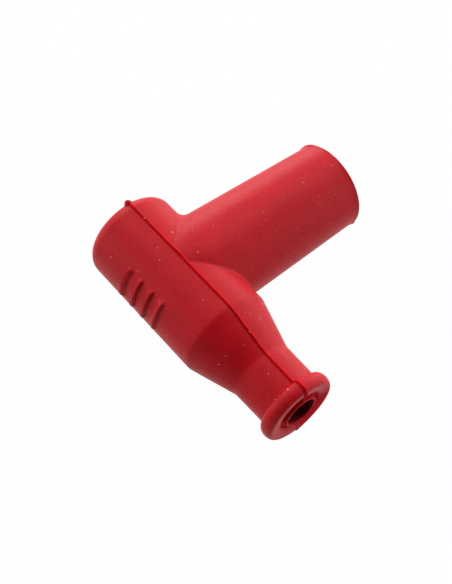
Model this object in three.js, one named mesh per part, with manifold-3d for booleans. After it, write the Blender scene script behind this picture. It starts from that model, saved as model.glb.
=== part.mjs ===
// Right-angle spark plug cap for a small engine, lying on its side: a moulded rubber cover round a rigid
// insulator elbow that holds the cable screw, the corner contact, the resistor, the spring and the terminal.
// Millimetres, +Z up. The plug tube runs along +X, the cable leaves along -Y, and the two axes cross at the
// inner group's origin.
import * as THREE from "three";
import { mergeVertices } from "three/addons/utils/BufferGeometryUtils.js";
import Module from "manifold-3d";

const wasm = await Module();
wasm.setup();

// Rubber cover, body along Y
const barrelRadius = 10.3;
const barrelBack = 17.55; // plug axis to the closed end
const shoulderRadius = 2.95; // rounding of the closed end
const barrelFront = 15.85; // plug axis to the start of the cone
const coneLength = 10.95;
const neckRadius = 7; // at the end of the cone
const neckTaper = 0.12; // lost again before the lip
const neckLength = 10.25; // cone to the middle of the rolled lip
const lipRadius = 7.5; // middle of the roll
const lipHalfWidth = 1.6;
const lipHalfHeight = 0.9;
const lipInnerHeight = 2.3; // the roll's front runs this far in towards the cable hole
const grooveDepth = 0.75; // from the middle of the roll to the floor of the groove round the ring
const holeRingRadius = 4.5;
const holeRingHeight = 1; // the ring stands this far out of the groove
const holeRingRound = 0.3;
const cableHoleRadius = 3.45;

// Rubber cover, plug tube along X
const tubeRootRadius = 11.35; // where the taper would meet the body's axis
const tubeRootDrop = 0.6; // the tube starts this much below its taper
const tubeRootReach = 7; // and has risen to it here
const tubeEndRadius = 10;
const tubeLength = 43.45; // body axis to the open end
const rimFlash = 0.28; // thin fin left by the mould at the open end
const rimFlashWidth = 0.3;
const plugBoreRadius = 5.6;
const leadInRadius = 6.9;
const leadInDepth = 2.6;
const sealRibHeight = 0.5;
const sealRibHalfWidth = 0.9;
const sealRibFirst = 2.7; // insulator's end to the first rib
const sealRibSpacing = 3.6;
const sealRibCount = 3;
const innerRoundBack = 2.2; // rounding between tube and barrel, closed end's side
const innerRoundFront = 0.9; // the same on the cable's side
const cornerOverlap = 1.25; // how deep the rounding's inner edge lies in the rubber, 1 being the corner

// Marks of the mould on the cover
const seamHeight = 0.3;
const seamWidth = 0.55;
const nubRadius = 0.55;
const gripHeight = 0.7;
const gripWidth = 1.1;
const gripSpacing = 3.4;
const gripCount = 4;
const gripLow = -0.8; // each bar's span in height, on the barrel's back
const gripHigh = 6.2;
const gripFirst = -5.1; // the bar nearest the cable

// Insulator elbow inside the cover
const fit = 0.15; // clearance all round between neighbours
const coreRadius = 7.2;
const coreReach = 28; // body axis to the elbow's open plug end
const coreFront = 14.6; // plug axis to its cable end
const coreBack = 13.4; // plug axis to its closed end
const coreRound = 1.2;
const plugSocketRadius = 5.9;
const plugSocketDepth = 6;
const cableSocketRadius = 3.6;
const cableSocketDepth = 5;

// Metal parts, resistor and spring
const contactRadius = 3;
const contactBack = 3; // plug axis to the contact's blind end
const contactFlat = 2.4; // body axis to the flat that the resistor presses on
const screwRadius = 1.5;
const screwHoldLength = 4.4;
const screwReach = 12; // out of the contact to the tip
const screwTipLength = 3.2;
const screwTipRadius = 0.25;
const resistorRadius = 2.2;
const resistorLength = 8.4;
const resistorCapWall = 0.35;
const resistorCapLength = 2;
const springRadius = 2.05; // middle of the wire
const springWire = 0.28;
const springLength = 4.2;
const springTurns = 4.5;
const terminalRadius = 4.6;
const terminalLength = 6.6;
const studHoleRadius = 2.1;
const studHoleDepth = 5.6;
const jawSlotWidth = 0.8;
const jawSlotDepth = 4.6;
const clipWire = 0.45;
const clipOpening = Math.PI / 5;
const clipPlace = 2; // terminal's front face to the clip's groove

const past = 1; // how far a cut runs past the face that it opens

// Fineness of the facets
const outerSides = 48;
const innerSides = 32;
const wireSides = 6;
const coilSteps = 14; // a turn
const rootSteps = 5; // along the start of the tube
const roundSteps = 20;
const roundArcSteps = 4;

const red = new THREE.MeshStandardMaterial({ color: 0xb02028, roughness: 0.55, metalness: 0 });
const phenolic = new THREE.MeshStandardMaterial({ color: 0x1b1714, roughness: 0.5, metalness: 0 });
const brass = new THREE.MeshStandardMaterial({ color: 0xb8944a, roughness: 0.35, metalness: 0.9 });
const steel = new THREE.MeshStandardMaterial({ color: 0x9a9a98, roughness: 0.35, metalness: 0.9 });
const ceramic = new THREE.MeshStandardMaterial({ color: 0xd8d2c4, roughness: 0.5, metalness: 0 });

// Closed geometry as a solid, and back
function solidOf(geometry) {
  const bare = geometry.clone();
  bare.deleteAttribute("normal");
  bare.deleteAttribute("uv");
  const merged = mergeVertices(bare, 1e-4);
  return new wasm.Manifold(
    new wasm.Mesh({
      numProp: 3,
      vertProperties: new Float32Array(merged.attributes.position.array),
      triVerts: new Uint32Array(merged.index.array),
    }),
  );
}

function meshOf(name, solid, material) {
  const found = solid.getMesh();
  const geometry = new THREE.BufferGeometry();
  geometry.setAttribute("position", new THREE.BufferAttribute(new Float32Array(found.vertProperties), 3));
  geometry.setIndex(new THREE.BufferAttribute(new Uint32Array(found.triVerts), 1));
  geometry.computeVertexNormals();
  const mesh = new THREE.Mesh(geometry, material.clone());
  mesh.name = name;
  return mesh;
}

// A profile of [radius, height] pairs, from high to low, turned about Y or about X
function turnedY(profile, sides) {
  const points = profile.map(([radius, height]) => new THREE.Vector2(radius, height)).reverse();
  return solidOf(new THREE.LatheGeometry(points, sides));
}

function turnedX(profile, sides) {
  const points = profile.map(([radius, height]) => new THREE.Vector2(radius, height)).reverse();
  return solidOf(new THREE.LatheGeometry(points, sides).rotateZ(-Math.PI / 2));
}

function rodX(radius, low, high, sides) {
  return turnedX([[0, high], [radius, high], [radius, low], [0, low]], sides);
}

function rodY(radius, low, high, sides) {
  return turnedY([[0, high], [radius, high], [radius, low], [0, low]], sides);
}

function block(low, high) {
  const size = high.map((value, i) => value - low[i]);
  const middle = high.map((value, i) => (value + low[i]) / 2);
  return solidOf(new THREE.BoxGeometry(...size).translate(...middle));
}

// Points of an elliptic arc, from one angle to another
function arc(centre, radii, from, to, steps) {
  return Array.from({ length: steps + 1 }, (_, i) => {
    const angle = from + ((to - from) * i) / steps;
    return [centre[0] + radii[0] * Math.cos(angle), centre[1] + radii[1] * Math.sin(angle)];
  });
}

const coneEnd = -(barrelFront + coneLength);
const lipMiddle = coneEnd - neckLength;
const grooveHeight = lipMiddle - grooveDepth;
const mouthHeight = grooveHeight - holeRingHeight;

// The body's outline, from the closed end round to the ring at the cable hole
function bodyOutline() {
  const neckEndRadius = neckRadius - neckTaper;
  const fromNeck = Math.acos((neckEndRadius - lipRadius) / lipHalfHeight);
  const toGroove = Math.asin(grooveDepth / lipHalfWidth) - Math.PI;
  const shoulder = [barrelRadius - shoulderRadius, barrelBack - shoulderRadius];
  const round = [holeRingRadius - holeRingRound, mouthHeight + holeRingRound];
  return [
    [0, barrelBack],
    ...arc(shoulder, [shoulderRadius, shoulderRadius], Math.PI / 2, 0, 6),
    [barrelRadius, -barrelFront],
    [neckRadius, coneEnd],
    ...arc([lipRadius, lipMiddle], [lipHalfHeight, lipHalfWidth], fromNeck, -Math.PI / 2, 9),
    ...arc([lipRadius, lipMiddle], [lipInnerHeight, lipHalfWidth], -Math.PI / 2, toGroove, 5).slice(1),
    [holeRingRadius, grooveHeight],
    ...arc(round, [holeRingRound, holeRingRound], 0, -Math.PI / 2, 3),
    [0, mouthHeight],
  ];
}

// The tube's radius along its axis: a taper, less a drop that fades out from the root
function tubeRadius(x) {
  const short = Math.max(1 - x / tubeRootReach, 0);
  return tubeRootRadius + ((tubeEndRadius - tubeRootRadius) * x) / tubeLength - tubeRootDrop * short * short;
}

// The same outline moved outwards along its own normals
function grown(outline, by) {
  return outline.map(([radius, height], i) => {
    const before = outline[Math.max(i - 1, 0)];
    const after = outline[Math.min(i + 1, outline.length - 1)];
    const along = new THREE.Vector2(after[0] - before[0], after[1] - before[1]).normalize();
    if (radius === 0) return [0, height + by * Math.sign(height)];
    return [radius - along.y * by, height + along.x * by];
  });
}

// The rounding between tube and barrel: a ball that rolls along the corner leaves an arc between its two
// points of touch, and the arc with one point inside the rubber is carried round the corner
function cornerRound(ballRadius, side) {
  const reach = barrelRadius + ballRadius;
  const highest = Math.min(1, (tubeRadius(0) + ballRadius) / reach);
  const rings = Array.from({ length: roundSteps + 1 }, (_, i) => {
    const turn = Math.asin(highest) * ((2 * i) / roundSteps - 1);
    const x = highest === 1 && i % roundSteps === 0 ? 0 : reach * Math.cos(turn);
    const z = reach * Math.sin(turn);
    const tube = tubeRadius(x);
    const y = side * Math.sqrt(Math.max((tube + ballRadius) ** 2 - z * z, 0));
    const centre = new THREE.Vector3(x, y, z);
    const toBarrel = new THREE.Vector3(-x, 0, -z).normalize();
    const toTube = new THREE.Vector3(0, -y, -z).normalize();
    const ring = Array.from({ length: roundArcSteps + 1 }, (_, k) => {
      const swing = toBarrel.angleTo(toTube);
      const a = Math.sin(swing * (1 - k / roundArcSteps)) / Math.sin(swing);
      const b = Math.sin((swing * k) / roundArcSteps) / Math.sin(swing);
      const towards = toBarrel.clone().multiplyScalar(a).addScaledVector(toTube, b);
      return centre.clone().addScaledVector(towards, ballRadius);
    });
    const inside = toBarrel.clone().add(toTube).multiplyScalar(ballRadius * cornerOverlap).add(centre);
    return [...ring, inside];
  });
  return lofted(rings, side);
}

// Rings of points with the same count, skinned and capped into a solid
function lofted(rings, side) {
  const count = rings[0].length;
  const place = rings.flat().flatMap((point) => [point.x, point.y, point.z]);
  const faces = [];
  const add = (a, b, c) => faces.push(...(side < 0 ? [a, b, c] : [a, c, b]));
  for (let i = 0; i + 1 < rings.length; i += 1) {
    for (let k = 0; k < count; k += 1) {
      const next = (k + 1) % count;
      add(i * count + k, (i + 1) * count + next, (i + 1) * count + k);
      add(i * count + k, i * count + next, (i + 1) * count + next);
    }
  }
  const last = (rings.length - 1) * count;
  for (let k = 1; k + 1 < count; k += 1) {
    add(0, k + 1, k);
    add(last, last + k, last + k + 1);
  }
  const geometry = new THREE.BufferGeometry();
  geometry.setAttribute("position", new THREE.Float32BufferAttribute(place, 3));
  geometry.setIndex(faces);
  return solidOf(geometry);
}

// Insulator elbow, also used with a clearance as the cover's cavity
function elbow(extra) {
  const radius = coreRadius + extra;
  const back = coreBack + extra;
  const along = turnedY(
    [
      [0, back],
      ...arc([radius - coreRound, back - coreRound], [coreRound, coreRound], Math.PI / 2, 0, 3),
      [radius, -coreFront - extra],
      [0, -coreFront - extra],
    ],
    innerSides,
  );
  return along.add(rodX(radius, 0, coreReach + extra, innerSides));
}

function cover() {
  const outline = bodyOutline();
  const half = seamWidth / 2;
  const far = tubeLength + barrelBack;
  const seamSlab = block([-half, -far, -far], [half, far, far]);
  const seam = turnedY(grown(outline, seamHeight), outerSides).intersect(seamSlab);
  const rootPlaces = Array.from({ length: rootSteps + 1 }, (_, i) => tubeRootReach * (1 - i / rootSteps));
  const tube = turnedX(
    [
      [0, tubeLength],
      [tubeEndRadius + rimFlash, tubeLength],
      [tubeEndRadius + rimFlash, tubeLength - rimFlashWidth],
      [tubeEndRadius, tubeLength - rimFlashWidth - rimFlash],
      ...rootPlaces.map((x) => [tubeRadius(x), x]),
      [0, 0],
    ],
    outerSides,
  );
  const nubPlace = barrelBack - shoulderRadius + (shoulderRadius + seamHeight) * Math.SQRT1_2;
  const nubHeight = barrelRadius - shoulderRadius + (shoulderRadius + seamHeight) * Math.SQRT1_2;
  const nub = solidOf(new THREE.IcosahedronGeometry(nubRadius, 1).translate(0, nubPlace, nubHeight));
  const raised = rodY(barrelRadius + gripHeight, -barrelFront, barrelBack - shoulderRadius, outerSides);
  const bars = Array.from({ length: gripCount }, (_, i) => {
    const middle = gripFirst + gripSpacing * i;
    const low = [-far, middle - gripWidth / 2, gripLow];
    return raised.intersect(block(low, [-coreRadius, middle + gripWidth / 2, gripHigh]));
  });

  let rubber = turnedY(outline, outerSides).add(seam).add(tube).add(nub);
  rubber = rubber.add(cornerRound(innerRoundBack, 1)).add(cornerRound(innerRoundFront, -1));
  rubber = bars.reduce((body, bar) => body.add(bar), rubber);

  const plugBore = rodX(plugBoreRadius, coreReach, tubeLength + past, innerSides);
  const ribs = Array.from({ length: sealRibCount }, (_, i) => {
    const middle = coreReach + sealRibFirst + sealRibSpacing * i;
    const waist = plugBoreRadius - sealRibHeight;
    const root = plugBoreRadius + past;
    return turnedX(
      [
        [plugBoreRadius, middle + sealRibHalfWidth],
        [root, middle + sealRibHalfWidth],
        [root, middle - sealRibHalfWidth],
        [plugBoreRadius, middle - sealRibHalfWidth],
        [waist, middle - sealRibHalfWidth / 3],
        [waist, middle + sealRibHalfWidth / 3],
        [plugBoreRadius, middle + sealRibHalfWidth],
      ],
      innerSides,
    );
  });
  const leadIn = turnedX(
    [
      [0, tubeLength + past],
      [leadInRadius, tubeLength + past],
      [leadInRadius, tubeLength],
      [plugBoreRadius, tubeLength - leadInDepth],
      [0, tubeLength - leadInDepth],
    ],
    innerSides,
  );
  const holeLeadIn = turnedY(
    [
      [0, mouthHeight + holeRingRound],
      [cableHoleRadius, mouthHeight + holeRingRound],
      [cableHoleRadius + holeRingRound, mouthHeight],
      [cableHoleRadius + holeRingRound, mouthHeight - past],
      [0, mouthHeight - past],
    ],
    innerSides,
  );
  rubber = rubber
    .subtract(elbow(fit))
    .subtract(plugBore)
    .subtract(leadIn)
    .subtract(rodY(cableHoleRadius, mouthHeight - past, -coreFront, innerSides))
    .subtract(holeLeadIn);
  return meshOf("rubber_cover", ribs.reduce((body, rib) => body.add(rib), rubber), red);
}

const contactFront = -(coreFront - cableSocketDepth);
const resistorStart = contactFlat;
const springStart = resistorStart + resistorLength;
const terminalStart = springStart + springLength;
const terminalFront = terminalStart + terminalLength;
const capRadius = resistorRadius + resistorCapWall + fit / 2;

function insulatorCore() {
  const core = elbow(0)
    .subtract(rodX(plugSocketRadius, coreReach - plugSocketDepth, coreReach + past, innerSides))
    .subtract(rodX(terminalRadius + fit, terminalStart, coreReach, innerSides))
    .subtract(rodX(capRadius + fit, 0, coreReach, innerSides))
    .subtract(rodY(cableSocketRadius, -coreFront - past, contactFront, innerSides))
    .subtract(rodY(contactRadius + fit, contactFront - past, contactBack, innerSides));
  return meshOf("insulator_core", core, phenolic);
}

function cornerContact() {
  const cut = block([contactFlat, -barrelFront, -coreRadius], [coreRadius, barrelBack, coreRadius]);
  const tapped = rodY(screwRadius + fit, contactFront - past, contactFront + screwHoldLength, innerSides);
  const body = rodY(contactRadius, contactFront, contactBack, innerSides).subtract(cut).subtract(tapped);
  return meshOf("corner_contact", body, brass);
}

function cableScrew() {
  const top = contactFront + screwHoldLength;
  const tip = contactFront - screwReach;
  const body = turnedY(
    [[0, top], [screwRadius, top], [screwRadius, tip + screwTipLength], [screwTipRadius, tip], [0, tip]],
    innerSides,
  );
  return meshOf("cable_screw", body, steel);
}

function resistorBody() {
  const low = resistorStart + resistorCapWall;
  return meshOf("resistor_body", rodX(resistorRadius, low, low + resistorLength - 2 * resistorCapWall, innerSides),
    ceramic);
}

function resistorCap(name, floor, way) {
  const rim = floor + way * resistorCapLength;
  const inner = floor + way * resistorCapWall;
  const low = Math.min(floor, rim);
  const outside = rodX(capRadius, low, low + resistorCapLength, innerSides);
  const ends = [inner, rim + way * past];
  const inside = rodX(resistorRadius + fit / 2, Math.min(...ends), Math.max(...ends), innerSides);
  return meshOf(name, outside.subtract(inside), brass);
}

class Coil extends THREE.Curve {
  getPoint(t, target = new THREE.Vector3()) {
    const turn = 2 * Math.PI * springTurns * t;
    const travel = springLength - 2 * (springWire + fit / 2);
    const start = springStart + springWire + fit / 2;
    return target.set(start + travel * t, springRadius * Math.cos(turn), springRadius * Math.sin(turn));
  }
}

class OpenRing extends THREE.Curve {
  getPoint(t, target = new THREE.Vector3()) {
    const turn = clipOpening / 2 + (2 * Math.PI - clipOpening) * t;
    const radius = terminalRadius - clipWire;
    return target.set(terminalFront - clipPlace, radius * Math.cos(turn), radius * Math.sin(turn));
  }
}

function wire(name, path, radius, steps, material) {
  const section = new THREE.Shape();
  for (let k = 0; k < wireSides; k += 1) {
    const angle = (2 * Math.PI * k) / wireSides;
    const place = [radius * Math.cos(angle), radius * Math.sin(angle)];
    if (k === 0) section.moveTo(...place);
    else section.lineTo(...place);
  }
  section.closePath();
  return meshOf(name, solidOf(new THREE.ExtrudeGeometry(section, { steps, extrudePath: path })), material);
}

function plugTerminal() {
  const grooveMiddle = terminalFront - clipPlace;
  const grooveFloor = terminalRadius - 2 * clipWire - fit;
  const grooveHalf = clipWire + fit;
  const groove = turnedX(
    [
      [grooveFloor, grooveMiddle + grooveHalf],
      [terminalRadius + past, grooveMiddle + grooveHalf],
      [terminalRadius + past, grooveMiddle - grooveHalf],
      [grooveFloor, grooveMiddle - grooveHalf],
      [grooveFloor, grooveMiddle + grooveHalf],
    ],
    innerSides,
  );
  const hole = rodX(studHoleRadius, terminalFront - studHoleDepth, terminalFront + past, innerSides);
  const side = terminalRadius + past;
  const slot = block(
    [terminalFront - jawSlotDepth, -side, -jawSlotWidth / 2],
    [terminalFront + past, side, jawSlotWidth / 2],
  );
  const body = rodX(terminalRadius, terminalStart, terminalFront, innerSides);
  return meshOf("plug_terminal", body.subtract(groove).subtract(hole).subtract(slot), brass);
}

const pieces = new THREE.Group();
pieces.add(
  cover(),
  insulatorCore(),
  cornerContact(),
  cableScrew(),
  resistorBody(),
  resistorCap("resistor_cap_inner", resistorStart, 1),
  resistorCap("resistor_cap_outer", springStart, -1),
  wire("contact_spring", new Coil(), springWire, Math.round(springTurns * coilSteps), steel),
  plugTerminal(),
  wire("terminal_clip", new OpenRing(), clipWire, innerSides, steel),
);

// The part's own origin is under the middle of its box, on the surface that it lies on
const bounds = new THREE.Box3().setFromObject(pieces);
const middle = bounds.getCenter(new THREE.Vector3());
pieces.position.set(-middle.x, -middle.y, -bounds.min.z);
const cap = new THREE.Group();
cap.add(pieces);

export default cap;
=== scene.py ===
import math

import bmesh
import bpy
import numpy as np
from mathutils import Matrix, Vector


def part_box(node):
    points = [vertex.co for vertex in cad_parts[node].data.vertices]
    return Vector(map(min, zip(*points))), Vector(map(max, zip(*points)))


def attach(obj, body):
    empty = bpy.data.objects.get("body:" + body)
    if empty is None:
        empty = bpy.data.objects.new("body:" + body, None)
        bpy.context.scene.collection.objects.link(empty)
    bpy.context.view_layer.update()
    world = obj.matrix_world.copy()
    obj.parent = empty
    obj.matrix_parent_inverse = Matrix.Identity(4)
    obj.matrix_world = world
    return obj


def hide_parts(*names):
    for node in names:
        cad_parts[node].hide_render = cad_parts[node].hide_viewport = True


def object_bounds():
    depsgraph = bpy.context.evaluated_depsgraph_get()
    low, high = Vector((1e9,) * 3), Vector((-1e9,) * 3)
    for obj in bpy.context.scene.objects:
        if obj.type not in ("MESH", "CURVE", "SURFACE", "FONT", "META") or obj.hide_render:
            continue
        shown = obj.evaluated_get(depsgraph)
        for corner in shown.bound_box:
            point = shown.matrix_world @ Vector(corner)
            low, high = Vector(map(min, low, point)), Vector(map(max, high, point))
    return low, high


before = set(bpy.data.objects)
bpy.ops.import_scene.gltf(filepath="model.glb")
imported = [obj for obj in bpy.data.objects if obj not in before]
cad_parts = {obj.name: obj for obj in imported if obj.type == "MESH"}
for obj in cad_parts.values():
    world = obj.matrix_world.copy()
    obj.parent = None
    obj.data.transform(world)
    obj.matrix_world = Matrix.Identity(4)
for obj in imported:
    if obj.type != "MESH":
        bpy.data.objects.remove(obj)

cadBox = [list(corner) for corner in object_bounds()]
print("frame loaded:", len(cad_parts), "nodes")

mm = 0.001  # sizes below are in millimetres, meshes in metres

# Rubber cover. Its plug tube runs along +X, its body along Y, and the two axes cross at one point.
cover = dict(
    barrelRadius=10.3, barrelBack=17.55, shoulder=2.95, barrelFront=15.85,
    coneLength=10.95, neckRadius=7.0, neckEndRadius=6.88, neckLength=10.25, softCorner=0.5, fineCorner=0.1,
    # the rolled lip, and the groove and ring sunk in it round the cable's hole
    lipRadius=7.5, lipHalfWidth=1.6, lipHalfHeight=0.9, lipInnerHeight=3.6,
    lipEdgeRadius=4.95, lipEdgeStart=0.12, lipEdgeDrop=0.03,
    grooveWall=0.1, grooveDepth=0.7, ringRadius=4.0, ringHeight=1.0, ringRound=0.2, holeRadius=3.45,
    # the plug tube, its rim and the flash there: each tab's angle and half width in degrees
    tubeRoot=11.35, rootDrop=0.8, rootReach=7.0, tubeEnd=10.0, tubeLength=43.45,
    flash=0.09, flashTab=0.3, flashTabs=((28, 26), (203, 5)), flashLength=1.4, rimEdge=0.11,
    bore=5.6, leadIn=6.9, leadInDepth=2.6, leadInRound=0.3,
    ribHeight=0.5, ribHalfWidth=0.9, ribSpacing=3.6, ribFirst=2.7, ribCount=3,
    roundBack=2.2, roundFront=0.9,
    # the parting line; what is named a share is taken off there
    seamHeight=0.4, seamUneven=0.3, seamEndHeight=0.3, seamHalfWidth=0.32, seamStep=0.09, seamStepReach=1.8,
    seamGroove=0.12, seamGrooveEdge=2.6, seamGrooveFade=0.3, seamFade=1.5, joinStart=10.2, joinShare=0.35,
    lipStart=2.2, lipStep=0.14, lipStepReach=2.5, lipGrooveShare=0.6, lipInnerShare=0.6, underLipShare=0.75,
    # the moulding nub, and the grip bars
    nubRadius=0.85, nubLift=0.12, nubTall=1.1,
    gripHeight=0.7, gripWidth=1.1, gripSpacing=3.4, gripCount=4, gripLow=-0.8, gripHigh=6.2, gripFirst=-5.1,
    gripEndRound=0.5, gripSideRound=0.3,
)

# Insulator elbow inside the cover, and what it holds
core = dict(
    radius=7.2, back=13.4, front=14.6, reach=28.0, rounding=1.2, fit=0.15,
    plugSocket=5.9, plugSocketDepth=6.0, cableSocket=3.6, cableSocketDepth=5.0,
)

pole = 1e-4  # radius at the middle of a closed end, small enough to merge to one point

# Where the two axes cross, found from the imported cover's box
coverLow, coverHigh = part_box("rubber_cover")
crossing = np.array([
    coverHigh[0] / mm - cover["tubeLength"],
    coverHigh[1] / mm - cover["barrelBack"] - cover["seamEndHeight"],
    (coverLow[2] + coverHigh[2]) / 2 / mm,
])
print("axes cross at", crossing.round(3), "mm")


def ease(t):
    # smooth step from 0 to 1
    t = np.clip(t, 0, 1)
    return t * t * (3 - 2 * t)


def arcPoints(centre, radii, angles):
    # centre + radii * (cos a, sin a), angles in degrees; one number is a circle's radius
    a = np.radians(angles)
    return np.array(centre) + np.array(radii) * np.stack([np.cos(a), np.sin(a)], 1)


def softCorner(before, corner, after, cut, steps):
    # quadratic curve from one straight side to the next, leaving each at cut millimetres from the corner
    before, corner, after = (np.array(p, float) for p in (before, corner, after))
    first = corner + (before - corner) / np.linalg.norm(before - corner) * cut
    last = corner + (after - corner) / np.linalg.norm(after - corner) * cut
    t = np.linspace(0, 1, steps + 1)[:, None]
    return (1 - t) ** 2 * first + 2 * t * (1 - t) * corner + t ** 2 * last


def joinOutline(pieces, spacing):
    # pieces one after another, with the straight stretches between them cut into even steps
    rows = [np.atleast_2d(pieces[0])]
    for piece in pieces[1:]:
        piece = np.atleast_2d(np.array(piece, float))
        start, end = rows[-1][-1], piece[0]
        gap = np.linalg.norm(end - start)
        if gap > 1e-6:
            steps = max(1, int(round(gap / spacing)))
            t = np.linspace(0, 1, steps + 1)[1:-1, None]
            rows += [start + (end - start) * t, piece]
        else:
            rows.append(piece[1:])
    return np.concatenate(rows)


def outlineNormals(outline):
    # the outline runs from the closed end to the cable's hole, so outwards is to its left
    along = np.gradient(outline, axis=0)
    along /= np.linalg.norm(along, axis=1, keepdims=True)
    return np.stack([-along[:, 1], along[:, 0]], 1)


def turned(outline, turn):
    # (radius, height) carried round Y, turn 0 being +X and 90 degrees +Z
    turn = turn[:, None]
    radius = outline[..., 0] + 0 * turn
    return np.stack([radius * np.cos(turn), outline[..., 1] + 0 * turn, radius * np.sin(turn)], -1)


def aroundTube(radius, x, angle):
    # a radius carried round X, angle 0 being +Y and 90 degrees +Z
    return np.stack(np.broadcast_arrays(x, radius * np.cos(angle), radius * np.sin(angle)), -1)


def tubeRadius(size, x):
    # a taper, less a drop that fades out from the root
    nearRoot = np.clip(1 - x / size["rootReach"], 0, 1)
    return size["tubeRoot"] - size["taper"] * x - size["rootDrop"] * nearRoot ** 2


def rollingBall(size, side, turns, steps):
    # A ball rolls along the corner of barrel and tube: its centre is a ball's radius off both, and the arc
    # about that centre from one point of touch to the other is a row. The first and last row lie at x = 0.
    # Also gives each row's angle and start on the tube.
    ball = size["roundBack"] if side > 0 else size["roundFront"]
    reach = size["barrelRadius"] + ball
    x, z = reach * np.cos(turns), reach * np.sin(turns)
    x[[0, -1]] = 0
    tube = tubeRadius(size, x)
    y = side * np.sqrt((tube + ball) ** 2 - z ** 2)
    centre = np.stack([x, y, z], 1)
    toBarrel = -np.stack([x, 0 * y, z], 1) / reach
    toTube = -np.stack([0 * x, y, z], 1) / (tube + ball)[:, None]
    swing = np.arccos(np.clip((toBarrel * toTube).sum(1), -1, 1))[:, None]
    t = np.linspace(0, 1, steps + 1)[None, :]
    barrelShare, tubeShare = np.sin(swing * (1 - t))[..., None], np.sin(swing * t)[..., None]
    towards = barrelShare * toBarrel[:, None] + tubeShare * toTube[:, None]
    towards /= np.linalg.norm(towards, axis=-1, keepdims=True)
    angle = np.arctan2(z, y)
    if side < 0:
        angle = np.where(angle < 0, angle + 2 * np.pi, angle)
    return (centre[:, None] + ball * towards, -towards), angle, x


def sideBySide(*strips):
    # strips share their edge columns, of which the first strip's stays
    first, *others = strips
    return tuple(np.concatenate([first[k], *[strip[k][:, 1:] for strip in others]], 1) for k in (0, 1))


def teeSurface(size, counts, frontTurns, backTurns, shaped):
    # Barrel and tube as grids that share their edges: the half that faces the tube in two strips, from each
    # end of the barrel over the corner's rounding and along the tube; the tube above and below the barrel;
    # the barrel's other half; and the step between the two where the tube starts. An outer and an inner tee
    # with the same turns have the same points round the cable's hole and round the tube's rim.
    capOutline, endOutline, tail = size["capOutline"], size["endOutline"], size["tail"]
    rows, wedge, ball = len(frontTurns), counts["wedge"], counts["ball"]
    alongTube = np.linspace(0, 1, counts["tube"] + 1) ** counts["tubePower"]
    share = np.pi / (rows - 1 + wedge)
    evenBack = (np.arange(rows) - (rows - 1) / 2) * share
    evenFront = np.pi - evenBack

    def outlineStrip(outline, turns):
        return turned(outline, turns), turned(outlineNormals(outline), turns)

    def barrelStrip(end, contact, count, turns, power=1.6):
        # from one end of the barrel to each row's own contact, with columns closer together there
        t = 1 - np.linspace(1, 0, count + 1)[None, :] ** power
        height = end + (contact - end) * t
        radius = np.full(height.shape, size["barrelRadius"])
        outwards = np.stack([np.ones_like(radius), 0 * height], -1)
        return turned(np.stack([radius, height], -1), turns), turned(outwards, turns)

    def tubeStrip(start, angle, even):
        # from each row's own start, while the rows spread to even angles, and then the tail that they share
        x = start[:, None] + (tail[0, 1] - start[:, None]) * alongTube[None, :]
        angles = angle[:, None] + (even - angle)[:, None] * ease(alongTube)[None, :]
        straight = aroundTube(tubeRadius(size, x), x, angles)
        ends = aroundTube(tail[None, :, 0], tail[None, :, 1], even[:, None])
        outwards = aroundTube(1.0, 0.0 * x, angles), aroundTube(1.0, 0.0 * tail[None, :, 1], even[:, None])
        return sideBySide((straight, outwards[0]), (ends, outwards[1]))

    def flipped(strip):
        return strip[0][:, ::-1], strip[1][:, ::-1]

    patches = []
    arcs = {}
    for side, even in ((1, evenBack), (-1, evenFront)):
        arc, angle, start = rollingBall(size, side, frontTurns, ball)
        arcs[side] = arc, angle
        contact = arc[0][:, 0, 1][:, None]
        if side > 0:
            first = outlineStrip(capOutline, frontTurns)
            barrel = barrelStrip(capOutline[-1, 1], contact, counts["back"], frontTurns)
        else:
            first = flipped(outlineStrip(endOutline, frontTurns))
            barrel = barrelStrip(endOutline[0, 1], contact, counts["front"], frontTurns)
        patches.append(shaped(*sideBySide(first, barrel, arc, tubeStrip(start, angle, even)), False))

    upper, lower = arcs[1][0][0][-1, 0, 1], arcs[-1][0][0][-1, 0, 1]
    middle = 2 * ball + wedge
    level = np.linspace(upper, lower, middle + 1)
    backTop = barrelStrip(capOutline[-1, 1], upper, counts["back"], backTurns)
    backEnd = flipped(barrelStrip(endOutline[0, 1], lower, counts["front"], backTurns))
    along = np.stack([np.full(middle + 1, size["barrelRadius"]), level], -1)
    behind = turned(along, backTurns), turned(np.stack([np.ones(middle + 1), 0 * level], -1), backTurns)
    back = shaped(*sideBySide(outlineStrip(capOutline, backTurns), backTop, behind, backEnd,
                              outlineStrip(endOutline, backTurns)), True)
    patches.append(back)
    firstColumn = len(capOutline) - 1 + counts["back"]

    for row, turn in ((-1, 0), (0, -2 * np.pi)):
        angle = np.linspace(arcs[1][1][row], arcs[-1][1][row] + turn, wedge + 1)
        even = np.linspace(evenBack[row], evenFront[row] + turn, wedge + 1)
        strip = shaped(*tubeStrip(np.zeros(wedge + 1), angle, even), False)
        patches.append(strip)
        ends = [[grid[row:][:1] for grid in arcs[side][0]] for side in (1, -1)]
        edges = [shaped(*end, False)[0] for end in ends]
        over = np.concatenate([edges[0], strip[1:-1, 0], edges[1][::-1]])
        under = back[0 if row else -1, firstColumn:firstColumn + middle + 1]
        patches.append(np.stack([under, over]))
    return patches


def addObject(name, data):
    thing = bpy.data.objects.new(name, data)
    bpy.context.scene.collection.objects.link(thing)
    return thing


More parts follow.
